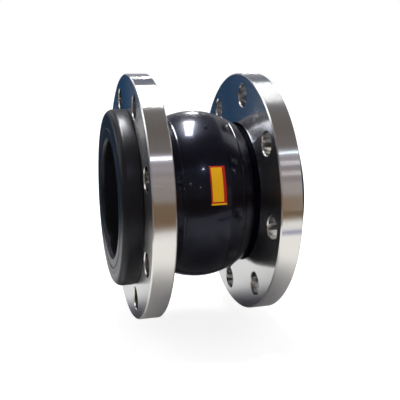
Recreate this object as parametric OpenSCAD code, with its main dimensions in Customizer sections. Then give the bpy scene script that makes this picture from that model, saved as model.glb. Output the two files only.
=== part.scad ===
// Rubber expansion joint: one moulded arch between two loose backing flanges.
// The pipe axis runs along X, +Z is up, and the origin is the middle of the arch.
// All sizes are in millimetres and all angles in degrees.

/* [Pipe connection] */
// Bore of the waterway
bore_d = 100; // [90:1:106]
// Length over the two sealing faces
length = 150; // [144:1:180]

/* [Flanges] */
// Outside diameter of each loose flange
flange_d = 210; // [196:1:240]
// Thickness of each loose flange
flange_t = 18; // [14:0.5:22]
// Flat face left between the collar and each bolt hole
hole_clear = 2.5; // [1:0.5:5]
// Steel left between each bolt hole and the rim
rim_wall = 8; // [5:0.5:12]
// Number of bolt holes in each flange
bolt_count = 8; // [4:4:12]
// Clock angle of a bolt hole on the left flange, from the front upwards
left_clock = 20; // [0:1:45]
// Clock angle of a bolt hole on the right flange, from the front upwards
right_clock = 36; // [0:1:45]
// Radial play of a flange on the rubber neck
flange_play = 1.5; // [0.5:0.1:2.5]
// Chamfer on the rim and on the inner edge of a flange
flange_chamfer = 0.9; // [0.4:0.1:2]
// Chamfer on the bolt holes
hole_chamfer = 0.8; // [0.2:0.1:1.5]
// Radius on the flange bore where the root of the collar seats
seat_radius = 5; // [4.5:0.1:6]

/* [Rubber wall] */
// Thickness of the inner liner
liner_t = 3; // [2.5:0.1:4]
// Thickness of one cord ply
ply_t = 0.9; // [0.6:0.05:1.1]
// Thickness of the outer cover
cover_t = 3.15; // [2.5:0.05:4]
// Cement film between bonded pieces
bond_t = 0.05; // [0.03:0.01:0.1]

/* [Arch] */
// Rise of the arch above the neck
arch_rise = 13; // [10:0.5:16]
// Outside radius where the arch runs out into the neck
arch_fillet = 6; // [4:0.5:10]
// Length of plain neck between the arch and each flange
arch_room = 0.5; // [0.3:0.1:2]
// Distance of each mould ridge from the middle of the arch
ridge_x = 25.5; // [15:0.5:27]
// Height of a mould ridge
ridge_h = 0.7; // [0.3:0.1:1.2]
// Width of a mould ridge at its foot
ridge_w = 1.8; // [1:0.1:3]

/* [Collars] */
// Thickness of each collar along the pipe
collar_t = 16.5; // [15.5:0.5:20]
// Rise of the collar above the neck
collar_rise = 15.5; // [14:0.5:17]
// Rubber skin behind the sealing face
face_t = 3; // [2.4:0.1:3.6]
// Rubber skin under the rim of the collar
rim_t = 3.2; // [2.5:0.1:4]
// Root radius between the neck and the collar
root_radius = 4; // [3:0.1:4.5]
// Rounding of the outer edge at the sealing face
face_round = 6; // [1:0.1:7]
// Rounding of the outer edge at the flange
back_round = 2; // [0.5:0.1:3]
// Rounding of the mouth of the waterway
mouth_round = 3.5; // [1:0.1:4]
// Rise of the lip at each end of the liner
lip_rise = 1.5; // [1.2:0.1:2.5]
// Distance of the sealing groove from the waterway
groove_rise = 10; // [7:0.5:14]
// Width of the sealing groove
groove_w = 1.6; // [0.8:0.1:2.5]
// Depth of the sealing groove
groove_depth = 0.6; // [0.3:0.1:1]

/* [Bead] */
// Filler rubber on each side of the bead wires
filler_t = 0.65; // [0.4:0.05:1]
// Gap between neighbouring bead wires
wire_gap = 0.06; // [0.04:0.01:0.1]
// Tightest bend of a cord ply
ply_bend = 0.2; // [0.15:0.05:0.5]

/* [Label] */
// Width of the label along the pipe
label_w = 12.8; // [8:0.1:20]
// Length of the label around the arch
label_l = 31; // [20:0.5:50]
// Thickness of the label
label_t = 0.3; // [0.2:0.05:0.5]
// Offset of the label from the middle of the arch
label_x = 1.6; // [-5:0.1:5]
// Clock angle of the middle of the label, from the front upwards
label_clock = 15.75; // [-90:0.25:90]

/* [Hidden] */
$fn = 96;

// Segments in the half arch, in a bend and in a small rounding
arch_steps = 12;
bend_steps = 6;
round_steps = 5;
// How far a cutter stands proud of the face that it cuts
proud = 1;
// Angle at which the thin edge of the filler is trimmed
filler_edge = 20;
// Cord plies that turn up on each side of the bead, and all of them
side_plies = 2;
all_plies = 2 * side_plies;

steel = [0.78, 0.78, 0.80];
black_rubber = [0.05, 0.05, 0.06];
grey_rubber = [0.16, 0.16, 0.17];
nylon = [0.74, 0.67, 0.50];
brassed_wire = [0.72, 0.57, 0.30];
label_yellow = [0.93, 0.68, 0.16];

// Depth of a layer is measured from the waterway outwards
ply_pitch = ply_t + bond_t;
function ply_in(i) = liner_t + bond_t + (i - 1) * ply_pitch;
function ply_out(i) = ply_in(i) + ply_t;
wall_t = liner_t + bond_t + all_plies * ply_pitch + cover_t;
cover_in = wall_t - cover_t;

bore_r = bore_d / 2;
neck_r = bore_r + wall_t;
collar_r = neck_r + collar_rise;
flange_r = flange_d / 2;
// The bolt holes fill the band of steel between the collar and the rim
bolt_hole_r = (flange_r - collar_r - hole_clear - rim_wall) / 2;
bolt_circle_r = flange_r - rim_wall - bolt_hole_r;
flange_bore_r = neck_r + flange_play;

// Stations along the pipe, for the right end
end_x = length / 2;
face_x = end_x - face_t;
back_x = end_x - collar_t;
flange_x = back_x - flange_t;
root_x = back_x - root_radius;
root_r = neck_r + root_radius;

// The arch meets the neck at arch_half, and its radius follows from the rise
arch_half = flange_x - arch_room;
arch_r = (pow(arch_half, 2) + pow(arch_rise, 2)) / (2 * arch_rise) - arch_fillet;
crown_r = neck_r + arch_rise;
arch_c = crown_r - arch_r;
arch_angle = atan2(arch_half, neck_r + arch_fillet - arch_c);
ridge_angle = asin(ridge_x / arch_r);
ridge_spread = asin(ridge_w / 2 / arch_r);

// The inner plies turn up behind the sealing face
turn_depth = ply_out(side_plies) + ply_bend;
turn_x = face_x - (turn_depth - liner_t);
rim_r = collar_r - rim_t;
ply_top_r = rim_r - bond_t;
lip_r = bore_r + liner_t + lip_rise;
groove_r = bore_r + groove_rise;

// The filler takes the room between the two pairs of plies
filler_depth = ply_out(side_plies) + bond_t;
filler_bend = root_radius + wall_t - (ply_in(side_plies + 1) - bond_t);
filler_left = root_x + filler_bend;
filler_right = turn_x + turn_depth - filler_depth;
bundle_r = (filler_right - filler_left) / 2 - filler_t;
bead_x = (filler_left + filler_right) / 2;
bead_r = (root_r + ply_top_r) / 2;
wire_d = (2 * bundle_r - 4 * wire_gap) / 3;
wires_around = 6;

// Points are [radius, station], and angles run from the radius to the station
function arc(centre, rad, from, to, steps) = [
    for (i = [0:steps])
        let (a = from + (to - from) * i / steps)
            centre + rad * [cos(a), sin(a)]
];
function tail(points) = [for (i = [1:len(points) - 1]) points[i]];
function reversed(points) = [for (i = [len(points) - 1:-1:0]) points[i]];
function other_end(points) = [for (p = points) [p[0], -p[1]]];
function both_ends(half) = concat(other_end(reversed(tail(half))), half);

// Wall line at one depth: arch and fillet, up to the neck
function arch_line(depth) =
    arc([arch_c, 0], arch_r - wall_t + depth, 0, arch_angle, arch_steps);
function fillet_line(depth) = tail(arc(
    [neck_r + arch_fillet, arch_half], arch_fillet + wall_t - depth,
    180 + arch_angle, 180, bend_steps
));
function wall_line(depth) = concat(arch_line(depth), fillet_line(depth));

// Outside of the arch, with its mould ridge
function ridged_line() = concat(
    arc([arch_c, 0], arch_r, 0, ridge_angle - ridge_spread, arch_steps),
    [[arch_c, 0] + (arch_r + ridge_h) * [cos(ridge_angle), sin(ridge_angle)]],
    arc([arch_c, 0], arch_r, ridge_angle + ridge_spread, arch_angle, bend_steps),
    fillet_line(wall_t)
);

// Ply lines: the inner pair turns up at the face, the outer pair at the flange
function face_ply_line(depth) = concat(
    wall_line(depth),
    arc([bore_r + turn_depth, turn_x], turn_depth - depth, 180, 90, bend_steps),
    [[ply_top_r, turn_x + turn_depth - depth]]
);
function flange_ply_line(depth) = concat(
    wall_line(depth),
    arc([root_r, root_x], root_radius + wall_t - depth, 180, 90, bend_steps),
    [[ply_top_r, root_x + root_radius + wall_t - depth]]
);

// Turns a profile around the pipe axis
module turned(points) {
    rotate([0, 90, 0]) rotate_extrude() polygon(points);
}

// Draws its children at the left end
module at_left() {
    mirror([1, 0, 0]) children();
}

// One bolt hole with its chamfers, along X and centred on the flange
module bolt_hole() {
    half = flange_t / 2;
    wide = bolt_hole_r + hole_chamfer + proud;
    rotate([0, 90, 0]) rotate_extrude() polygon([
        [0, -half - proud], [wide, -half - proud], [bolt_hole_r, -half + hole_chamfer],
        [bolt_hole_r, half - hole_chamfer], [wide, half + proud], [0, half + proud]
    ]);
}

// Flange plate of the right end, with its bolt holes at a clock angle
module flange_plate(clock) {
    c = flange_chamfer;
    difference() {
        turned(concat(
            [[flange_bore_r + c, flange_x], [flange_r - c, flange_x]],
            [[flange_r, flange_x + c], [flange_r, back_x - c], [flange_r - c, back_x]],
            arc([flange_bore_r + seat_radius, back_x - seat_radius], seat_radius,
                90, 180, bend_steps),
            [[flange_bore_r, flange_x + c]]
        ));
        for (i = [0:bolt_count - 1])
            rotate([-clock - i * 360 / bolt_count, 0, 0])
                translate([(flange_x + back_x) / 2, -bolt_circle_r, 0]) bolt_hole();
    }
}

// Rubber skin of the right collar, open towards the axis for the plies and the bead
module collar_skin() {
    turned(concat(
        arc([root_r, root_x], root_radius, 180, 90, bend_steps),
        arc([collar_r - back_round, back_x + back_round], back_round, -90, 0, round_steps),
        arc([collar_r - face_round, end_x - face_round], face_round, 0, 90, round_steps),
        [[groove_r + groove_w / 2, end_x], [groove_r, end_x - groove_depth]],
        [[groove_r - groove_w / 2, end_x], [lip_r + bond_t, end_x]],
        [[lip_r + bond_t, face_x], [rim_r, face_x], [rim_r, root_x + root_radius + cover_t]],
        arc([root_r, root_x], root_radius + cover_t, 90, 180, bend_steps)
    ));
}

// Filler of the right collar, hollow where the bead wires lie
module bead_filler() {
    rotate([0, 90, 0]) rotate_extrude() difference() {
        polygon(concat(
            [[bore_r + filler_depth, root_x + filler_bend * sin(filler_edge)]],
            arc([root_r, root_x], filler_bend, 180 - filler_edge, 90, bend_steps),
            [[ply_top_r, filler_left], [ply_top_r, filler_right]],
            [[bore_r + turn_depth, filler_right], [bore_r + filler_depth, turn_x]]
        ));
        translate([bead_r, bead_x]) circle(r = bundle_r);
    }
}

// Bead wires of the right collar: one middle turn and a ring of turns around it
module bead_wires() {
    pitch = wire_d + wire_gap;
    spots = concat(
        [[0, 0]],
        [for (i = [0:wires_around - 1])
            pitch * [cos(i * 360 / wires_around), sin(i * 360 / wires_around)]]
    );
    for (s = spots)
        rotate([0, 90, 0]) rotate_extrude()
            translate([bead_r, bead_x] + s) circle(d = wire_d);
}

// One cord ply, turned up at the face or at the flange
module cord_ply(i) {
    color(nylon) turned(i <= side_plies
        ? concat(both_ends(face_ply_line(ply_out(i))),
            reversed(both_ends(face_ply_line(ply_in(i)))))
        : concat(both_ends(flange_ply_line(ply_out(i))),
            reversed(both_ends(flange_ply_line(ply_in(i))))));
}

module left_flange() { color(steel) at_left() flange_plate(left_clock); }
module right_flange() { color(steel) flange_plate(right_clock); }
module left_collar() { color(black_rubber) at_left() collar_skin(); }
module right_collar() { color(black_rubber) collar_skin(); }
module left_bead_wires() { color(brassed_wire) at_left() bead_wires(); }
module right_bead_wires() { color(brassed_wire) bead_wires(); }
module left_bead_filler() { color(grey_rubber) at_left() bead_filler(); }
module right_bead_filler() { color(grey_rubber) bead_filler(); }
module cord_ply_1() { cord_ply(1); }
module cord_ply_2() { cord_ply(2); }
module cord_ply_3() { cord_ply(3); }
module cord_ply_4() { cord_ply(4); }

// Liner tube, with a lip at each mouth of the waterway
module inner_liner() {
    liner_r = bore_r + liner_t;
    outside = concat(wall_line(liner_t), [[liner_r, face_x], [lip_r, face_x], [lip_r, end_x]]);
    inside = concat(
        wall_line(0),
        arc([bore_r + mouth_round, end_x - mouth_round], mouth_round, 180, 90, round_steps)
    );
    color(black_rubber) turned(concat(both_ends(outside), reversed(both_ends(inside))));
}

// Cover of the arch and the necks, up to the collars
module outer_cover() {
    stop_x = root_x - bond_t;
    outside = concat(ridged_line(), [[neck_r, stop_x]]);
    inside = concat(wall_line(cover_in), [[neck_r - cover_t, stop_x]]);
    color(black_rubber) turned(concat(both_ends(outside), reversed(both_ends(inside))));
}

// Bare label on the front of the crown
module label() {
    low = asin((label_x - label_w / 2) / arch_r);
    high = asin((label_x + label_w / 2) / arch_r);
    turn = label_l / crown_r * 180 / PI;
    under = arch_r + bond_t;
    color(label_yellow) rotate([0, 90, 0]) rotate([0, 0, 270 - label_clock - turn / 2])
        rotate_extrude(angle = turn) polygon(concat(
            arc([arch_c, 0], under, low, high, round_steps),
            arc([arch_c, 0], under + label_t, high, low, round_steps)
        ));
}

left_flange();
right_flange();
left_collar();
right_collar();
left_bead_wires();
right_bead_wires();
left_bead_filler();
right_bead_filler();
inner_liner();
cord_ply_1();
cord_ply_2();
cord_ply_3();
cord_ply_4();
outer_cover();
label();
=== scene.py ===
"""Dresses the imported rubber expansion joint: rubber wall, collars, steel flanges and bare label."""
import math

import bmesh
import bpy
import numpy as np
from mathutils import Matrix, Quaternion, Vector


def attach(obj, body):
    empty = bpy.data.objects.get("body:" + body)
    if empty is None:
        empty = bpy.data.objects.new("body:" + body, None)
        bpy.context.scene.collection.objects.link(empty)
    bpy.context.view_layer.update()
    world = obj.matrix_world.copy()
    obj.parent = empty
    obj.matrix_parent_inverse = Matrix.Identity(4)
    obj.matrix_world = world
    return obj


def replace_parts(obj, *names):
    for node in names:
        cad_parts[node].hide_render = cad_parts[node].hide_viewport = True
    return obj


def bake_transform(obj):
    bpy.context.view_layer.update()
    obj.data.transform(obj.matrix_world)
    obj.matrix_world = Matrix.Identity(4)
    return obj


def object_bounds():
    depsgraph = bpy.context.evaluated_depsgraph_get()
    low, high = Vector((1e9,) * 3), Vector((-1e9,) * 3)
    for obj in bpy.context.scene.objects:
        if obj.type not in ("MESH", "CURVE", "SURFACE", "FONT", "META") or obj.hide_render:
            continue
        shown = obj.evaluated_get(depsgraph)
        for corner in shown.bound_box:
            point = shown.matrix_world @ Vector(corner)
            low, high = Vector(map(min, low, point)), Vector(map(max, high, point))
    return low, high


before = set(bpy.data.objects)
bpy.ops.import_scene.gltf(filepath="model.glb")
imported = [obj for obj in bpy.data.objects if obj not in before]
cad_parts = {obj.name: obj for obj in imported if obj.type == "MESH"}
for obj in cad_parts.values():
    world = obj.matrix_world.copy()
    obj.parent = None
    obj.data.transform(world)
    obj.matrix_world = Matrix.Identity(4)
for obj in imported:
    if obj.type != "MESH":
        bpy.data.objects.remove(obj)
cad_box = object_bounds()

# Sizes in millimetres, as in the part's source
MM = 0.001
BORE_R = 50.0
WALL_T = 10.0
LINER_T = 3.0
BOND_T = 0.05
COVER_T = 3.15
NECK_R = BORE_R + WALL_T
BOLT_CIRCLE_R = 87.5
HOLE_BAND = 12.0

# The collars and their sealing faces
END_X = 75.0
FACE_T = 3.0
FACE_X = END_X - FACE_T
COLLAR_T = 16.5
COLLAR_RISE = 15.5
COLLAR_R = NECK_R + COLLAR_RISE
BACK_X = END_X - COLLAR_T
ROOT_RADIUS = 4.0
ROOT_X = BACK_X - ROOT_RADIUS
ROOT_R = NECK_R + ROOT_RADIUS
BACK_ROUND = 2.0
FACE_ROUND = 6.0
MOUTH_ROUND = 3.5
LIP_RISE = 1.5
LIP_R = BORE_R + LINER_T + LIP_RISE
RIM_T = 3.2
RIM_R = COLLAR_R - RIM_T
PLY_TOP_R = RIM_R - BOND_T
GROOVE_R = BORE_R + 10.0
GROOVE_HALF = 0.8
GROOVE_FLOOR_HALF = 0.25
GROOVE_DEPTH = 0.55

# The arch and its fillet
ARCH_HALF = 40.0
ARCH_RISE = 13.0
ARCH_FILLET = 6.0
CROWN_R = NECK_R + ARCH_RISE
ARCH_R = (ARCH_HALF ** 2 + ARCH_RISE ** 2) / (2 * ARCH_RISE) - ARCH_FILLET
ARCH_C = CROWN_R - ARCH_R
ARCH_ANGLE = math.atan2(ARCH_HALF, NECK_R + ARCH_FILLET - ARCH_C)

# The layers of the carcass: two plies turn up at the face and two at the flange
CARCASS_IN = LINER_T + BOND_T
CARCASS_OUT = WALL_T - COVER_T - BOND_T
FACE_PLY_OUT = 4.9
FLANGE_PLY_IN = FACE_PLY_OUT + BOND_T
PLY_BEND = 0.2
TURN_DEPTH = FACE_PLY_OUT + PLY_BEND
TURN_X = FACE_X - (TURN_DEPTH - LINER_T)

# Mould ridges with their torn flash: places across a ridge, towards the flange, and their heights
RIDGE_X = 25.5
RIDGE_SPAN = (-1.4, 1.2)
LEFT_RIDGE = ((-1.25, -0.1, 0.35, 0.8), (0, 0.27, 0.24, 0))
RIGHT_RIDGE = ((-0.8, -0.15, 0.1, 0.9), (0, 0.49, 0.49, 0))
FLASH_H = 0.3
FLASH_W = 0.14
FLASH_CLOCK = 62.0
FLASH_REACH = 30.0
TEAR_H = 1.3
TEAR_CLOCK = -68.0
TEAR_REACH = 9.0

# Faint waviness of the moulded outside, and how deep that outside counts
WAVE_H = 0.014
SKIN_T = 0.5

# Trimmed stubs of the mould's vents: station and clock angle
VENTS = ((0.2, 58.6), (17.3, -5.9), (24.0, -15.0))
VENT_R = 1.4
VENT_H = 1.2

# Where the wall is cut into slices, and a station towards each end
SLICE_X = 26.8
MID_X = -5.5
GRIP_X = 46.0

# Label on the crown, and the shares of its width and length where its red bars begin or end
LABEL_W = 12.8
LABEL_L = 31.0
LABEL_T = 0.3
LABEL_X = 1.6
LABEL_CLOCK = 15.75
BAR_LEFT = 0.09
BAR_RIGHT = 0.80
BAR_TOP = 0.965
BAR_FOOT = 0.085
FOOT_EDGE = 0.045

# Mesh steps
SEGMENTS = 384
LINER_SEGMENTS = 256
CARCASS_SEGMENTS = 128
LABEL_COLUMNS = 24
LABEL_ROWS = 64
STEP = 0.7
RIDGE_STATIONS = 27
SEAM = 0.05
SEAM_CLEAR = 0.2
SHARP_ANGLE = 35.0

# Roughness of the flanges: as turned, and how much smoother the bolt holes and a polished face are
TURNED_ROUGHNESS = (0.17, 0.22)
REAMED = 0.11
LEFT_POLISH = 0.0
RIGHT_POLISH = 0.035


def arc(centre, radius, start, stop, steps):
    """Points [radius, station] on an arc, with angles in degrees from the radius to the station."""
    angles = np.radians(np.linspace(start, stop, steps + 1))
    return np.c_[centre[0] + radius * np.cos(angles), centre[1] + radius * np.sin(angles)]


def wall_radius(station, depth):
    """Radius of the wall at a station, where depth is measured from the waterway outwards."""
    x = np.abs(np.asarray(station, float))
    arch = ARCH_R - WALL_T + depth
    fillet = ARCH_FILLET + WALL_T - depth
    on_arch = ARCH_C + np.sqrt(np.maximum(arch ** 2 - x ** 2, 0))
    room_left = np.maximum(ARCH_HALF - x, 0)
    on_fillet = NECK_R + ARCH_FILLET - np.sqrt(np.maximum(fillet ** 2 - room_left ** 2, 0))
    return np.where(x <= arch * math.sin(ARCH_ANGLE), on_arch, on_fillet)


def stations(first, last, fine=()):
    """Stations along a slice, close together at its ends so that neighbouring slices shade alike."""
    count = math.ceil((last - first) / STEP)
    even = np.linspace(first, last, count + 1)[1:-1]
    extra = [x for x in fine if first + SEAM_CLEAR < x < last - SEAM_CLEAR]
    ends = [first, first + SEAM, last - SEAM, last]
    return np.unique(np.round(np.concatenate([ends, even, extra]), 4))


def ridge_stations():
    """Close stations across the two mould ridges."""
    across = np.linspace(*RIDGE_SPAN, RIDGE_STATIONS)
    return np.concatenate([-RIDGE_X - across, RIDGE_X + across])


def wall_slice(first, last, inner, outer, fine=()):
    """Closed profile of one slice of a layer of the wall, with some stations close together outside."""
    along = stations(first, last, fine)
    outside = np.c_[wall_radius(along, outer), along]
    along = stations(first, last)
    inside = np.c_[wall_radius(along, inner), along]
    return np.concatenate([outside, inside[::-1]])


def ragged(clock, seed):
    """Uneven height of torn flash around the ring, between 0 and 1."""
    waves = np.sin(17 * clock + seed) + np.sin(29 * clock + 2.3 * seed) + np.sin(53 * clock - seed)
    fine = np.sin(97 * clock + 0.7 * seed)
    return np.clip(0.5 + (waves + fine) / 5, 0, 1)


def near(clock, middle, half):
    """1 at a clock angle in degrees, fading to 0 at half degrees from it."""
    off = (np.degrees(clock) - middle + 180) % 360 - 180
    return np.clip(1 - (off / half) ** 2, 0, 1)


def cover_lift(radius, station, clock):
    """Ridge, flash and faint waviness of the moulded outside."""
    outside = radius > wall_radius(station, WALL_T) - SKIN_T
    off = np.abs(station) - RIDGE_X
    ridge = np.where(station > 0, np.interp(off, *RIGHT_RIDGE), np.interp(off, *LEFT_RIDGE))
    seed = np.where(station > 0, 1.7, 4.1)
    flash = FLASH_H * ragged(clock, seed) * near(clock, FLASH_CLOCK, FLASH_REACH)
    tear = np.where(station > 0, TEAR_H * near(clock, TEAR_CLOCK, TEAR_REACH), 0)
    fin = (flash + tear) * np.exp(-(off / FLASH_W) ** 2)
    waves = np.sin(5 * clock + 0.21 * station) + np.sin(9 * clock - 0.33 * station + 1.1)
    return np.where(outside, ridge + fin + WAVE_H * (waves - 2), 0)


def revolve(name, profile, lift=None, segments=SEGMENTS):
    """Closed ring about the pipe axis from a closed profile of [radius, station] points."""
    profile = np.asarray(profile, float)
    rows = len(profile)
    clock = np.linspace(0, 2 * math.pi, segments, endpoint=False)
    turn, radius = np.meshgrid(clock, profile[:, 0], indexing="ij")
    station = np.broadcast_to(profile[:, 1], radius.shape)
    if lift is not None:
        radius = radius + lift(radius, station, turn)
    points = np.stack([station, -radius * np.cos(turn), radius * np.sin(turn)], axis=-1)
    i, j = np.meshgrid(np.arange(segments), np.arange(rows), indexing="ij")
    ahead = (i + 1) % segments
    above = (j + 1) % rows
    faces = np.stack([i * rows + j, ahead * rows + j, ahead * rows + above, i * rows + above], axis=-1)
    mesh = bpy.data.meshes.new(name)
    mesh.from_pydata((points.reshape(-1, 3) * MM).tolist(), [], faces.reshape(-1, 4).tolist())
    mark_corners(mesh, profile, rows)
    return finish_mesh(name, mesh)


def mark_corners(mesh, profile, rows):
    """Marks the rings at the corners of a profile as sharp."""
    before = profile - np.roll(profile, 1, axis=0)
    after = np.roll(profile, -1, axis=0) - profile
    cross = before[:, 0] * after[:, 1] - before[:, 1] * after[:, 0]
    turn = np.degrees(np.abs(np.arctan2(cross, (before * after).sum(axis=1))))
    ends = np.zeros(len(mesh.edges) * 2, np.int32)
    mesh.edges.foreach_get("vertices", ends)
    ends = ends.reshape(-1, 2) % rows
    sharp = (ends[:, 0] == ends[:, 1]) & (turn[ends[:, 0]] > SHARP_ANGLE)
    mark = mesh.attributes.new("sharp_edge", "BOOLEAN", "EDGE")
    mark.data.foreach_set("value", sharp)


def finish_mesh(name, mesh):
    """Turns the faces outwards, shades them smooth and makes the object."""
    work = bmesh.new()
    work.from_mesh(mesh)
    bmesh.ops.recalc_face_normals(work, faces=work.faces)
    for face in work.faces:
        face.smooth = True
    work.to_mesh(mesh)
    work.free()
    piece = bpy.data.objects.new(name, mesh)
    bpy.context.scene.collection.objects.link(piece)
    return piece


def at_left(profile):
    """The same profile at the left end."""
    return np.c_[profile[:, 0], -profile[:, 1]]


def add(tree, kind, inputs=None, **settings):
    """Adds a shader node with its settings and input values."""
    made = tree.nodes.new(kind)
    for key, value in settings.items():
        setattr(made, key, value)
    for key, value in (inputs or {}).items():
        made.inputs[key].default_value = value
    return made


def new_material(name):
    """A new node material with its tree and its Principled shader."""
    material = bpy.data.materials.new(name)
    material.use_nodes = True
    tree = material.node_tree
    return material, tree, tree.nodes["Principled BSDF"]


def feed(tree, values, made):
    """Feeds sockets or fixed values into the first inputs of a node."""
    for socket, value in zip(made.inputs, values):
        if isinstance(value, bpy.types.NodeSocket):
            tree.links.new(value, socket)
        else:
            socket.default_value = value


def math_node(tree, operation, *values):
    """Result of a Math node fed by sockets or numbers."""
    made = add(tree, "ShaderNodeMath", operation=operation)
    feed(tree, values, made)
    return made.outputs[0]


def vector_node(tree, operation, *values):
    """Vector from a Vector Math node fed by sockets or fixed vectors."""
    made = add(tree, "ShaderNodeVectorMath", operation=operation)
    feed(tree, values, made)
    return made.outputs["Vector"]


def distance(tree, vector, centre=(0, 0, 0)):
    """How far a vector socket is from a point."""
    made = add(tree, "ShaderNodeVectorMath", operation="DISTANCE")
    feed(tree, (vector, centre), made)
    return made.outputs["Value"]


def split_vector(tree, vector):
    """The X, Y and Z sockets of a vector socket."""
    made = add(tree, "ShaderNodeSeparateXYZ")
    tree.links.new(vector, made.inputs["Vector"])
    return made.outputs["X"], made.outputs["Y"], made.outputs["Z"]


def noise(tree, vector, scale, detail=3.0):
    """Value of a noise texture on a vector."""
    made = add(tree, "ShaderNodeTexNoise", {"Scale": scale, "Detail": detail})
    tree.links.new(vector, made.inputs["Vector"])
    return made.outputs["Fac"]


def spread(tree, value, low, high, start=0.3, stop=0.7):
    """Spreads a value between start and stop over a range from low to high."""
    limits = {"From Min": start, "From Max": stop, "To Min": low, "To Max": high}
    made = add(tree, "ShaderNodeMapRange", limits)
    tree.links.new(value, made.inputs["Value"])
    return made.outputs["Result"]


def bump(tree, height, shader, strength, depth):
    """Feeds a height into the shader's normal."""
    made = add(tree, "ShaderNodeBump", {"Strength": strength, "Distance": depth})
    tree.links.new(height, made.inputs["Height"])
    tree.links.new(made.outputs["Normal"], shader.inputs["Normal"])


def place(tree):
    """Object coordinates, in metres."""
    return add(tree, "ShaderNodeTexCoord").outputs["Object"]


def turned_place(tree):
    """Coordinates that are the same all round the pipe axis: station and radius."""
    x, y, z = split_vector(tree, place(tree))
    square_y = math_node(tree, "MULTIPLY", y, y)
    square_z = math_node(tree, "MULTIPLY", z, z)
    radius = math_node(tree, "SQRT", math_node(tree, "ADD", square_y, square_z))
    joined = add(tree, "ShaderNodeCombineXYZ")
    tree.links.new(x, joined.inputs["X"])
    tree.links.new(radius, joined.inputs["Y"])
    return joined.outputs["Vector"]


def mix_colours(tree, factor, first, second):
    """Colour socket between two colours, set by a factor socket."""
    made = add(tree, "ShaderNodeMix", data_type="RGBA")
    colours = [s for s in made.inputs if s.type == "RGBA"]
    colours[0].default_value = (*first, 1)
    colours[1].default_value = (*second, 1)
    tree.links.new(factor, made.inputs[0])
    return [s for s in made.outputs if s.type == "RGBA"][0]


def mix_shaders(tree, factor, first, second):
    """Shader socket between two shaders, set by a factor socket."""
    made = add(tree, "ShaderNodeMixShader")
    feed(tree, (factor, first, second), made)
    return made.outputs["Shader"]


def ramp(tree, factor, stops):
    """Colour socket that runs through the stops, each a value of the factor with its colour."""
    made = add(tree, "ShaderNodeValToRGB")
    elements = made.color_ramp.elements
    while len(elements) < len(stops):
        elements.new(0.5)
    for element, (value, colour) in zip(elements, stops):
        element.position = value
        element.color = (*colour, 1)
    tree.links.new(factor, made.inputs["Fac"])
    return made.outputs["Color"]


def gloss_rubber():
    """Moulded rubber of the arch: near black, with a clear gloss over a faint haze."""
    material, tree, shader = new_material("gloss_rubber")
    smear = noise(tree, place(tree), 60.0, 4.0)
    shade = spread(tree, smear, 0, 1)
    colour = mix_colours(tree, shade, (0.0006, 0.0004, 0.0020), (0.0012, 0.0010, 0.0036))
    tree.links.new(colour, shader.inputs["Base Color"])
    tree.links.new(spread(tree, smear, 0.22, 0.28), shader.inputs["Roughness"])
    shader.inputs["Specular IOR Level"].default_value = 0.25
    shader.inputs["Specular Tint"].default_value = (0.52, 0.62, 1.0, 1)
    shader.inputs["Coat Weight"].default_value = 0.32
    shader.inputs["Coat Roughness"].default_value = 0.06
    bump(tree, noise(tree, place(tree), 1100.0, 2.0), shader, 0.05, 0.00006)
    return material


def satin_rubber():
    """Rubber of the collars and the liner: satin, with fine rings from its mould."""
    material, tree, shader = new_material("satin_rubber")
    rings = noise(tree, turned_place(tree), 900.0, 2.0)
    smear = noise(tree, place(tree), 45.0, 4.0)
    shade = spread(tree, smear, 0, 1)
    colour = mix_colours(tree, shade, (0.0045, 0.0044, 0.0064), (0.0085, 0.0083, 0.0115))
    tree.links.new(colour, shader.inputs["Base Color"])
    tree.links.new(spread(tree, rings, 0.27, 0.37), shader.inputs["Roughness"])
    shader.inputs["Specular IOR Level"].default_value = 0.22
    shader.inputs["Specular Tint"].default_value = (0.90, 0.93, 1.0, 1)
    bump(tree, rings, shader, 0.12, 0.0001)
    return material


def flange_faces(tree):
    """1 on the flat faces of a flange, and 0 on its rim, its bore and the walls of its holes."""
    along, _, _ = split_vector(tree, add(tree, "ShaderNodeTexCoord").outputs["Normal"])
    return math_node(tree, "GREATER_THAN", math_node(tree, "ABSOLUTE", along), 0.5)


def bolt_holes(tree):
    """1 on the walls of the bolt holes, and 0 on the faces, the rim and the bore of a flange."""
    _, radius, _ = split_vector(tree, turned_place(tree))
    off_circle = math_node(tree, "ABSOLUTE", math_node(tree, "SUBTRACT", radius, BOLT_CIRCLE_R * MM))
    in_band = math_node(tree, "LESS_THAN", off_circle, HOLE_BAND * MM)
    walls = math_node(tree, "SUBTRACT", 1.0, flange_faces(tree))
    return math_node(tree, "MULTIPLY", in_band, walls)


def turned_steel(name, polish):
    """Turned and polished steel: rings from the lathe stretch the reflections across them."""
    material, tree, shader = new_material(name)
    rings = noise(tree, turned_place(tree), 2600.0, 2.0)
    colour = mix_colours(tree, spread(tree, rings, 0, 1), (0.70, 0.69, 0.67), (0.80, 0.79, 0.77))
    tree.links.new(colour, shader.inputs["Base Color"])
    shader.inputs["Metallic"].default_value = 1.0
    polished = math_node(tree, "MULTIPLY", flange_faces(tree), polish)
    reamed = math_node(tree, "MULTIPLY", bolt_holes(tree), REAMED)
    smoother = math_node(tree, "ADD", polished, reamed)
    turned = spread(tree, rings, *TURNED_ROUGHNESS)
    tree.links.new(math_node(tree, "SUBTRACT", turned, smoother), shader.inputs["Roughness"])
    shader.inputs["Anisotropic"].default_value = 1.0
    shader.inputs["Anisotropic Rotation"].default_value = 0.25
    tangent = add(tree, "ShaderNodeTangent", direction_type="RADIAL", axis="X")
    tree.links.new(tangent.outputs["Tangent"], shader.inputs["Tangent"])
    bump(tree, rings, shader, 0.03, 0.00003)
    return material


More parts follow.
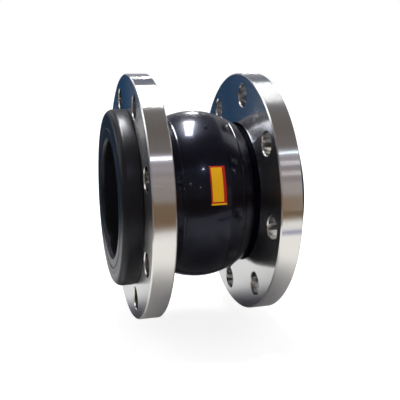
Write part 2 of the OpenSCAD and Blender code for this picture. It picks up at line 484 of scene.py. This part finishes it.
def label_film():
    """Printed film: a yellow field with red bars at its edges and no lettering."""
    material, tree, shader = new_material("label_film")
    label_map = add(tree, "ShaderNodeUVMap", uv_map="label").outputs["UV"]
    across, along, _ = split_vector(tree, label_map)
    red = math_node(tree, "LESS_THAN", across, BAR_LEFT)
    red = math_node(tree, "MAXIMUM", red, math_node(tree, "GREATER_THAN", across, BAR_RIGHT))
    red = math_node(tree, "MAXIMUM", red, math_node(tree, "GREATER_THAN", along, BAR_TOP))
    red = math_node(tree, "MAXIMUM", red, math_node(tree, "LESS_THAN", along, BAR_FOOT))
    red = math_node(tree, "MULTIPLY", red, math_node(tree, "GREATER_THAN", along, FOOT_EDGE))
    colour = mix_colours(tree, red, (0.71, 0.362, 0.004), (0.40, 0.014, 0.006))
    tree.links.new(colour, shader.inputs["Base Color"])
    grain = noise(tree, place(tree), 300.0)
    tree.links.new(spread(tree, grain, 0.28, 0.42), shader.inputs["Roughness"])
    shader.inputs["Specular IOR Level"].default_value = 0.12
    return material


def cord_fabric():
    """Rubberised nylon cord, with its threads lying around the pipe."""
    material, tree, shader = new_material("cord_fabric")
    weave = {"Scale": 420.0, "Distortion": 0.6}
    threads = add(tree, "ShaderNodeTexWave", weave, bands_direction="DIAGONAL")
    tree.links.new(place(tree), threads.inputs["Vector"])
    colour = mix_colours(tree, threads.outputs["Fac"], (0.36, 0.30, 0.19), (0.56, 0.49, 0.34))
    tree.links.new(colour, shader.inputs["Base Color"])
    shader.inputs["Roughness"].default_value = 0.7
    bump(tree, threads.outputs["Fac"], shader, 0.3, 0.0002)
    return material


def brassed_wire():
    """Drawn steel wire with a thin brass coat."""
    material, tree, shader = new_material("brassed_wire")
    streaks = noise(tree, turned_place(tree), 3000.0, 2.0)
    colour = mix_colours(tree, spread(tree, streaks, 0, 1), (0.52, 0.37, 0.15), (0.70, 0.54, 0.27))
    tree.links.new(colour, shader.inputs["Base Color"])
    shader.inputs["Metallic"].default_value = 1.0
    tree.links.new(spread(tree, streaks, 0.25, 0.4), shader.inputs["Roughness"])
    return material


def dull_rubber():
    """Extruded filler rubber, dull and a little dusty."""
    material, tree, shader = new_material("dull_rubber")
    dust = noise(tree, place(tree), 250.0, 4.0)
    shade = spread(tree, dust, 0, 1)
    colour = mix_colours(tree, shade, (0.020, 0.020, 0.022), (0.045, 0.045, 0.047))
    tree.links.new(colour, shader.inputs["Base Color"])
    tree.links.new(spread(tree, dust, 0.6, 0.8), shader.inputs["Roughness"])
    return material


def dress(piece, material):
    """Gives a piece its material."""
    piece.data.materials.clear()
    piece.data.materials.append(material)
    return piece


def liner_end():
    """Profile of the liner at the right end, out to its lip in the mouth of the collar."""
    along = stations(SLICE_X, FACE_X)
    outside = np.c_[wall_radius(along, LINER_T), along]
    lip = [[LIP_R, FACE_X], [LIP_R, END_X]]
    mouth = arc((BORE_R + MOUTH_ROUND, END_X - MOUTH_ROUND), MOUTH_ROUND, 90, 180, 14)
    along = stations(SLICE_X, END_X - MOUTH_ROUND)[:-1]
    inside = np.c_[wall_radius(along, 0), along]
    return np.concatenate([outside, lip, mouth, inside[::-1]])


def carcass_end():
    """Profile of the carcass at the right end, where its plies part round the bead."""
    along = stations(SLICE_X, ROOT_X)[:-1]
    outside = np.c_[wall_radius(along, CARCASS_OUT), along]
    reach = ROOT_RADIUS + WALL_T
    flange_up = arc((ROOT_R, ROOT_X), reach - CARCASS_OUT, 180, 90, 16)
    flange_top = [
        [PLY_TOP_R, ROOT_X + reach - CARCASS_OUT],
        [PLY_TOP_R, ROOT_X + reach - FLANGE_PLY_IN],
    ]
    flange_down = arc((ROOT_R, ROOT_X), reach - FLANGE_PLY_IN, 90, 180, 16)
    turn = (BORE_R + TURN_DEPTH, TURN_X)
    face_up = arc(turn, TURN_DEPTH - FACE_PLY_OUT, 180, 90, 6)
    face_top = [
        [PLY_TOP_R, TURN_X + TURN_DEPTH - FACE_PLY_OUT],
        [PLY_TOP_R, TURN_X + TURN_DEPTH - CARCASS_IN],
    ]
    face_down = arc(turn, TURN_DEPTH - CARCASS_IN, 90, 180, 10)
    split = [[BORE_R + FACE_PLY_OUT, ROOT_X]]
    along = stations(SLICE_X, TURN_X)[:-1]
    inside = np.c_[wall_radius(along, CARCASS_IN), along]
    return np.concatenate([
        outside, flange_up, flange_top, flange_down, split,
        face_up, face_top, face_down, inside[::-1],
    ])


def collar_profile():
    """Profile of the right collar: root, back, rounded rim, grooved sealing face and inside."""
    root = arc((ROOT_R, ROOT_X), ROOT_RADIUS, 180, 90, 16)
    back = arc((COLLAR_R - BACK_ROUND, BACK_X + BACK_ROUND), BACK_ROUND, -90, 0, 8)
    front = arc((COLLAR_R - FACE_ROUND, END_X - FACE_ROUND), FACE_ROUND, 0, 90, 18)
    groove = [
        [GROOVE_R + GROOVE_HALF, END_X],
        [GROOVE_R + GROOVE_FLOOR_HALF, END_X - GROOVE_DEPTH],
        [GROOVE_R - GROOVE_FLOOR_HALF, END_X - GROOVE_DEPTH],
        [GROOVE_R - GROOVE_HALF, END_X],
    ]
    lip = [[LIP_R + BOND_T, END_X], [LIP_R + BOND_T, FACE_X]]
    inside = [[RIM_R, FACE_X], [RIM_R, ROOT_X + ROOT_RADIUS + COVER_T]]
    under = arc((ROOT_R, ROOT_X), ROOT_RADIUS + COVER_T, 90, 180, 12)
    return np.concatenate([root, back, front, groove, lip, inside, under])


def bend(piece):
    """Bakes a piece's placement into its mesh."""
    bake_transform(piece)


def wall_layers(material_of):
    """The cover, carcass and liner, each in four slices."""
    plies = [f"cord_ply_{i}" for i in range(1, 5)]
    cover_stop = ROOT_X - BOND_T
    cover_in = WALL_T - COVER_T
    spans = {
        "left_flank": (-cover_stop, -SLICE_X, ("left_end", "left_flank"), -GRIP_X, -SLICE_X),
        "left_crown": (-SLICE_X, MID_X, ("left_flank", "crown"), -SLICE_X, MID_X),
        "right_crown": (MID_X, SLICE_X, ("crown", "right_flank"), MID_X, SLICE_X),
        "right_flank": (SLICE_X, cover_stop, ("right_flank", "right_end"), SLICE_X, GRIP_X),
    }
    ends = {
        "left_flank": (at_left(carcass_end()), at_left(liner_end())),
        "right_flank": (carcass_end(), liner_end()),
    }
    for name, (first, last, bodies, start, end) in spans.items():
        cover_profile = wall_slice(first, last, cover_in, WALL_T, ridge_stations())
        middle = (wall_slice(first, last, CARCASS_IN, CARCASS_OUT), wall_slice(first, last, 0, LINER_T))
        carcass_profile, liner_profile = ends.get(name, middle)
        cover = revolve(f"cover_{name}", cover_profile, cover_lift)
        carcass = revolve(f"carcass_{name}", carcass_profile, segments=CARCASS_SEGMENTS)
        liner = revolve(f"liner_{name}", liner_profile, segments=LINER_SEGMENTS)
        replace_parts(dress(cover, material_of["gloss"]), "outer_cover")
        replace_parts(dress(carcass, material_of["cord"]), *plies)
        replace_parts(dress(liner, material_of["satin"]), "inner_liner")
        for piece in (cover, carcass, liner):
            bend(piece)


def vent_stubs(material):
    """Small domes on the arch where the vents of the mould were trimmed."""
    for index, (station, turn) in enumerate(VENTS, 1):
        clock = math.radians(turn)
        tilt = math.asin(station / ARCH_R)
        across = Vector((0, -math.cos(clock), math.sin(clock)))
        outward = across * math.cos(tilt) + Vector((math.sin(tilt), 0, 0))
        foot = across * ARCH_C + outward * ARCH_R
        work = bmesh.new()
        bmesh.ops.create_uvsphere(work, u_segments=20, v_segments=12, radius=1.0)
        turned = outward.to_track_quat("Z", "Y")
        for vert in work.verts:
            local = Vector((vert.co.x * VENT_R, vert.co.y * VENT_R, vert.co.z * VENT_H))
            vert.co = (foot + turned @ local) * MM
        mesh = bpy.data.meshes.new(f"vent_stub_{index}")
        work.to_mesh(mesh)
        work.free()
        piece = dress(finish_mesh(f"vent_stub_{index}", mesh), material)
        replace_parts(piece, "outer_cover")
        bend(piece)


def collars(material_of):
    """The two collars, each riding on its end."""
    for side, profile in (("left", at_left(collar_profile())), ("right", collar_profile())):
        piece = dress(revolve(f"{side}_collar_skin", profile), material_of["satin"])
        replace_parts(piece, f"{side}_collar")
        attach(piece, f"{side}_end")


def film_sheet(station, clock, height):
    """Points of one side of the label, at a height above the arch."""
    radius = ARCH_C + np.sqrt((ARCH_R + height) ** 2 - station ** 2)
    points = np.stack([station, -radius * np.cos(clock), radius * np.sin(clock)], axis=-1)
    return points.reshape(-1, 3)


def film_faces(columns, rows):
    """Faces of the two sides of the label and of the edge that joins them."""
    size = (columns + 1) * (rows + 1)
    index = np.arange(size).reshape(columns + 1, rows + 1)
    quads = np.stack([index[:-1, :-1], index[1:, :-1], index[1:, 1:], index[:-1, 1:]], axis=-1)
    quads = quads.reshape(-1, 4)
    border = np.concatenate([index[:, 0], index[-1, 1:], index[-2::-1, -1], index[0, -2:0:-1]])
    after = np.roll(border, -1)
    edge = np.stack([border, after, after + size, border + size], axis=-1)
    return np.concatenate([quads, quads[:, ::-1] + size, edge])


def label_piece(material):
    """Bare label: a thin bent film on the crown, with its own map for the printed bars."""
    across = np.linspace(0, 1, LABEL_COLUMNS + 1)
    along = np.linspace(0, 1, LABEL_ROWS + 1)
    u, v = np.meshgrid(across, along, indexing="ij")
    station = LABEL_X + (u - 0.5) * LABEL_W
    clock = math.radians(LABEL_CLOCK) + (v - 0.5) * LABEL_L / CROWN_R
    sheets = [film_sheet(station, clock, height) for height in (BOND_T, BOND_T + LABEL_T)]
    points = np.concatenate(sheets) * MM
    mesh = bpy.data.meshes.new("label_film")
    mesh.from_pydata(points.tolist(), [], film_faces(LABEL_COLUMNS, LABEL_ROWS).tolist())
    label_map = np.concatenate([np.stack([u, v], axis=-1).reshape(-1, 2)] * len(sheets))
    corners = np.zeros(len(mesh.loops), np.int32)
    mesh.loops.foreach_get("vertex_index", corners)
    layer = mesh.uv_layers.new(name="label")
    layer.data.foreach_set("uv", label_map[corners].astype(np.float32).ravel())
    piece = dress(finish_mesh("label_film", mesh), material)
    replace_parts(piece, "label")
    bend(piece)


def cad_looks(material_of):
    """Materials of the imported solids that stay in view."""
    looks = {
        "left_flange": "left_steel", "right_flange": "right_steel",
        "left_bead_wires": "wire", "right_bead_wires": "wire",
        "left_bead_filler": "filler", "right_bead_filler": "filler",
    }
    for name, look in looks.items():
        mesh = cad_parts[name].data
        for index in range(len(mesh.materials)):
            mesh.materials[index] = material_of[look]


# Camera, with its shift in pixels of the photo's frame
CAMERA_AZIMUTH = -15.5
CAMERA_ELEVATION = 11.38
CAMERA_DISTANCE = 0.570
CAMERA_LENS = 57.53
FRAME_WIDTH = 400
SHIFT_X = 7.3 / FRAME_WIDTH
SHIFT_Y = -6.75 / FRAME_WIDTH

# Floor, in metres: the camera sees it as white, a little darker near the object
WHITE = (1.0, 1.0, 1.0)
FLOOR_HALF = 6.0
FLOOR_DROP = 0.014
FLOOR_SHADOW = (0.30, 0.30, 0.30)
FLOOR_GLOW = (0.80, 1.0)
GLOW_EDGE = (0.10, 0.30)

# The table that the steel reflects: an oval, with painted shade under the object and a blue strip at
# the right
TABLE = (0.08, -0.085)
TABLE_R = 0.31
TABLE_STRETCH = 1.8
TABLE_TURN = -30.0
TABLE_EDGE = 0.04
TABLE_COLOUR = (0.60, 0.59, 0.568)
# Painted shade on the table under the object: its middle, the distances over which it fades out, and
# its colour
PAINTED_SHADE_SPOT = (0.02, -0.045)
PAINTED_SHADE_EDGE = (0.03, 0.13)
PAINTED_SHADE_COLOUR = (0.29, 0.28, 0.30)
STRIP_X = 0.08
STRIP_Y = -0.287
STRIP_HALF = 0.020
STRIP_COLOUR = (0.20, 0.21, 0.42)

# Painted shade on the table behind the object, darkest just behind the pipe axis: distance behind the
# pipe axis, and share of each colour
PAINTED_SHADE_BEHIND = [
    (0.0, (1.0, 1.0, 1.0)),
    (0.012, (0.12, 0.125, 0.16)),
    (0.040, (0.14, 0.145, 0.18)),
    (0.075, (0.74, 0.76, 0.80)),
]

# Light. Angles run round the pipe axis: 0 is the front horizon, 90 is overhead, 180 the back horizon
PLAIN_LIGHT = 0.75

# Lamps that the right rim shows as lines: angle, length, radiance and colour
RIGHT_LAMPS = [
    (44.0, 0.040, 10.0, (0.70, 0.88, 1.0)),
    (34.4, 0.090, 3.0, (0.90, 0.90, 1.0)),
    (25.0, 0.090, 2.1, (1.0, 0.98, 0.96)),
]

# Far lamps of the hall, small points in the rubber: angle and angle sideways
HALL_LAMPS = [(25.0, -30.0), (25.0, -22.0), (18.6, -7.5)]

# The room that the steel reflects: angle and colour
ROOM = [
    (-180, (0.014, 0.050, 0.115)),
    (-160, (0.040, 0.060, 0.090)),
    (-90, (0.200, 0.190, 0.180)),
    (-26, (0.300, 0.240, 0.190)),
    (-14, (0.190, 0.125, 0.075)),
    (2, (0.180, 0.120, 0.070)),
    (7, (0.270, 0.235, 0.225)),
    (32, (0.280, 0.255, 0.270)),
    (40, (0.340, 0.315, 0.345)),
    (47, (0.340, 0.315, 0.345)),
    (49, (0.175, 0.155, 0.158)),
    (72, (0.140, 0.124, 0.114)),
    (97.5, (0.160, 0.152, 0.155)),
    (101, (0.270, 0.270, 0.310)),
    (130, (0.270, 0.270, 0.310)),
    (133.5, (0.160, 0.175, 0.225)),
    (149.5, (0.160, 0.175, 0.225)),
    (153, (0.300, 0.300, 0.340)),
    (163, (0.300, 0.300, 0.340)),
    (167, (0.450, 0.430, 0.480)),
    (173, (0.250, 0.260, 0.330)),
    (178, (0.014, 0.050, 0.115)),
]


def towards(turn, sideways):
    """Direction at an angle round the pipe axis and an angle towards +X, in degrees."""
    a = math.radians(turn)
    b = math.radians(sideways)
    return Vector((math.sin(b), -math.cos(a) * math.cos(b), math.sin(a) * math.cos(b)))


def camera():
    """Camera at the photograph's viewing angle."""
    data = bpy.data.cameras.new("camera")
    data.sensor_width = 36.0
    data.lens = CAMERA_LENS
    data.shift_x = SHIFT_X
    data.shift_y = SHIFT_Y
    data.clip_start = 0.01
    made = bpy.data.objects.new("camera", data)
    azimuth = math.radians(CAMERA_AZIMUTH)
    elevation = math.radians(CAMERA_ELEVATION)
    back = Vector((
        math.sin(azimuth) * math.cos(elevation),
        -math.cos(azimuth) * math.cos(elevation),
        math.sin(elevation),
    ))
    made.location = back * CAMERA_DISTANCE
    made.rotation_euler = back.to_track_quat("Z", "Y").to_euler()
    bpy.context.scene.collection.objects.link(made)
    bpy.context.scene.camera = made


def softbox(name, turn, sideways, away, size, radiance, colour=WHITE, roll=0.0):
    """Rectangular lamp that faces the object: size is its width and its length round the pipe axis."""
    data = bpy.data.lights.new(name, "AREA")
    data.shape = "RECTANGLE"
    data.size = size[0]
    data.size_y = size[1]
    data.energy = radiance * math.pi * size[0] * size[1]
    data.color = colour
    lamp = bpy.data.objects.new(name, data)
    lamp.location = towards(turn, sideways) * away
    rolled = Quaternion((0, 0, 1), math.radians(roll))
    lamp.rotation_euler = (lamp.location.to_track_quat("Z", "Y") @ rolled).to_euler()
    bpy.context.scene.collection.objects.link(lamp)


def lamps():
    """Soft boxes and small lamps, where the photo's steel and rubber show them."""
    softbox("overhead_box", 109, -0.5, 1.2, (0.19, 0.66), 50.0, roll=-21)
    softbox("front_lamp", 42, -1, 1.2, (0.07, 0.022), 100.0, (0.86, 0.88, 1.0))
    softbox("back_box", 153, 13.5, 1.3, (0.10, 0.08), 45.0)
    softbox("left_box", 112, -52, 1.5, (0.5, 1.3), 1.7)
    softbox("left_strip", 133, -24, 1.4, (0.20, 1.16), 1.3, roll=-43)
    softbox("left_back_box", 167, -41, 1.4, (0.24, 0.24), 3.0, (1.0, 0.98, 0.92))
    softbox("right_wall", 4, 40, 1.5, (0.60, 0.60), 0.35, (1.0, 0.97, 0.94))
    for index, (turn, length, radiance, colour) in enumerate(RIGHT_LAMPS, 1):
        softbox(f"right_lamp_{index}", turn, 28, 1.4, (0.10, length), radiance, colour)
    for index, (turn, sideways) in enumerate(HALL_LAMPS, 1):
        softbox(f"hall_lamp_{index}", turn, sideways, 1.5, (0.035, 0.02), 25.0, (1.0, 0.9, 0.75))


def room():
    """World: white behind the object for the camera, and a plain room in what the metal reflects."""
    world = bpy.data.worlds.new("room")
    bpy.context.scene.world = world
    world.use_nodes = True
    tree = world.node_tree
    _, y, z = split_vector(tree, add(tree, "ShaderNodeTexCoord").outputs["Generated"])
    turn = math_node(tree, "ARCTAN2", z, math_node(tree, "MULTIPLY", y, -1.0))
    share = math_node(tree, "ADD", math_node(tree, "DIVIDE", turn, 2 * math.pi), 0.5)
    stops = [((angle + 180) / 360, colour) for angle, colour in ROOM]
    mirrored = tree.nodes["Background"]
    tree.links.new(ramp(tree, share, stops), mirrored.inputs["Color"])
    plain = add(tree, "ShaderNodeBackground", {"Color": (*WHITE, 1), "Strength": PLAIN_LIGHT})
    white = add(tree, "ShaderNodeBackground", {"Color": (*WHITE, 1), "Strength": 1.0})
    ray = add(tree, "ShaderNodeLightPath").outputs
    shiny = math_node(tree, "MAXIMUM", ray["Is Glossy Ray"], ray["Is Transmission Ray"])
    light = mix_shaders(tree, shiny, plain.outputs["Background"], mirrored.outputs["Background"])
    seen = mix_shaders(tree, ray["Is Camera Ray"], light, white.outputs["Background"])
    tree.links.new(seen, tree.nodes["World Output"].inputs["Surface"])


def pale_floor(tree, spot):
    """Shader of the floor that the camera sees: white, with the object's soft shadow."""
    shadowed = add(tree, "ShaderNodeBsdfDiffuse", {"Color": (*FLOOR_SHADOW, 1)})
    glow = add(tree, "ShaderNodeEmission", {"Color": (*WHITE, 1)})
    level = spread(tree, distance(tree, spot), *FLOOR_GLOW, *GLOW_EDGE)
    tree.links.new(level, glow.inputs["Strength"])
    both = add(tree, "ShaderNodeAddShader")
    feed(tree, (shadowed.outputs["BSDF"], glow.outputs["Emission"]), both)
    return both.outputs["Shader"]


def table_colour(tree, spot):
    """Colour of the table: painted shade under the object and behind it, with its blue strip."""
    # Painted shade: the table turns darker towards a spot under the object
    clear_of_painted_shade = spread(tree, distance(tree, spot, (*PAINTED_SHADE_SPOT, 0)), 0, 1, *PAINTED_SHADE_EDGE)
    colour = mix_colours(tree, clear_of_painted_shade, PAINTED_SHADE_COLOUR, TABLE_COLOUR)
    x, y, _ = split_vector(tree, spot)
    off_strip = math_node(tree, "ABSOLUTE", math_node(tree, "SUBTRACT", y, STRIP_Y))
    strip = math_node(tree, "LESS_THAN", off_strip, STRIP_HALF)
    strip = math_node(tree, "MULTIPLY", strip, math_node(tree, "GREATER_THAN", x, STRIP_X))
    striped = vector_node(tree, "MULTIPLY", colour, mix_colours(tree, strip, WHITE, STRIP_COLOUR))
    # Painted shade behind the object: the table's colour is scaled by the shares of this ramp
    return vector_node(tree, "MULTIPLY", striped, ramp(tree, y, PAINTED_SHADE_BEHIND))


def past_table(tree, spot):
    """0 on the table and 1 past its edge, where the metal sees the room."""
    oval = {
        "Location": (*TABLE, 0),
        "Rotation": (0, 0, math.radians(TABLE_TURN)),
        "Scale": (TABLE_STRETCH, 1, 1),
    }
    local = add(tree, "ShaderNodeMapping", oval, vector_type="TEXTURE")
    tree.links.new(spot, local.inputs["Vector"])
    from_middle = distance(tree, local.outputs["Vector"])
    return spread(tree, from_middle, 0, 1, TABLE_R - TABLE_EDGE, TABLE_R + TABLE_EDGE)


def floor_material():
    """Pale floor for the camera, and a table in a room in what the metal reflects."""
    material, tree, shader = new_material("floor")
    tree.nodes.remove(shader)
    spot = place(tree)
    ray = add(tree, "ShaderNodeLightPath").outputs
    table = add(tree, "ShaderNodeBsdfDiffuse")
    tree.links.new(table_colour(tree, spot), table.inputs["Color"])
    clear = add(tree, "ShaderNodeBsdfTransparent")
    hidden = math_node(tree, "MULTIPLY", past_table(tree, spot), ray["Is Glossy Ray"])
    mirrored = mix_shaders(tree, hidden, table.outputs["BSDF"], clear.outputs["BSDF"])
    seen = mix_shaders(tree, ray["Is Camera Ray"], mirrored, pale_floor(tree, spot))
    tree.links.new(seen, tree.nodes["Material Output"].inputs["Surface"])
    return material


def floor():
    """Floor under the object, clear of the flanges when the joint bends."""
    mesh = bpy.data.meshes.new("floor")
    signs = ((-1, -1), (1, -1), (1, 1), (-1, 1))
    corners = [(x * FLOOR_HALF, y * FLOOR_HALF, 0) for x, y in signs]
    mesh.from_pydata(corners, [], [(0, 1, 2, 3)])
    mesh.materials.append(floor_material())
    made = bpy.data.objects.new("floor", mesh)
    made.location = (0, 0, cad_box[0][2] - FLOOR_DROP)
    bpy.context.scene.collection.objects.link(made)


materials = {
    "gloss": gloss_rubber(),
    "satin": satin_rubber(),
    "left_steel": turned_steel("left_steel", LEFT_POLISH),
    "right_steel": turned_steel("right_steel", RIGHT_POLISH),
    "cord": cord_fabric(),
    "wire": brassed_wire(),
    "filler": dull_rubber(),
}
camera()
room()
floor()
lamps()
wall_layers(materials)
vent_stubs(materials["gloss"])
collars(materials)
label_piece(label_film())
cad_looks(materials)
bpy.context.scene.view_settings.view_transform = "Standard"
